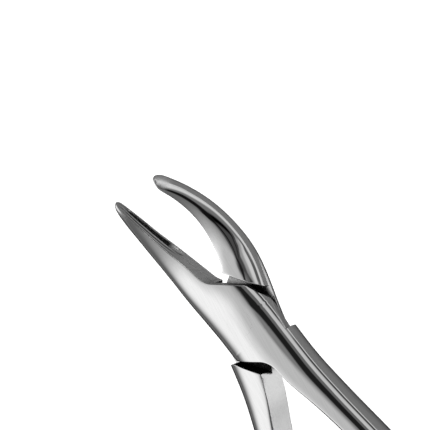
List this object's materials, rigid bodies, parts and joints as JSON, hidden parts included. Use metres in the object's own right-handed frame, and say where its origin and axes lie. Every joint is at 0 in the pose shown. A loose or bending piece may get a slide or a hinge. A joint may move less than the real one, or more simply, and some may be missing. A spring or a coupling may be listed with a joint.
{
  "type": "extraction forceps",
  "caption": "Dental extraction forceps: crossed forged steel halves on a flush riveted lap joint, steeply bent spoon beaks that grip a tooth, and bowed cross-cut handles.",
  "frame": {"origin": "on the hinge axis, at the flat underside of the rivet that the joint rests on", "axes": "+Z along the hinge axis, up; +Y from the hinge to the beaks; +X across the handles"},
  "size_m": [0.0714, 0.1713, 0.0195],
  "materials": {
    "front_half_steel": "satin polished stainless steel",
    "rear_half_steel": "satin polished stainless steel",
    "pivot_rivet_steel": "stainless steel ground flush with the cheeks"
  },
  "bodies": {
    "front": {"front_half": "front_half_steel", "pivot_rivet": "pivot_rivet_steel"},
    "rear": {"rear_half": "rear_half_steel"}
  },
  "joints": [
    {"name": "lap_hinge", "type": "hinge", "parent": "front", "child": "rear", "pos_m": [0, 0, 0.0044], "axis": [0, 0, 1], "range_deg": [-23, 16]}
  ]
}
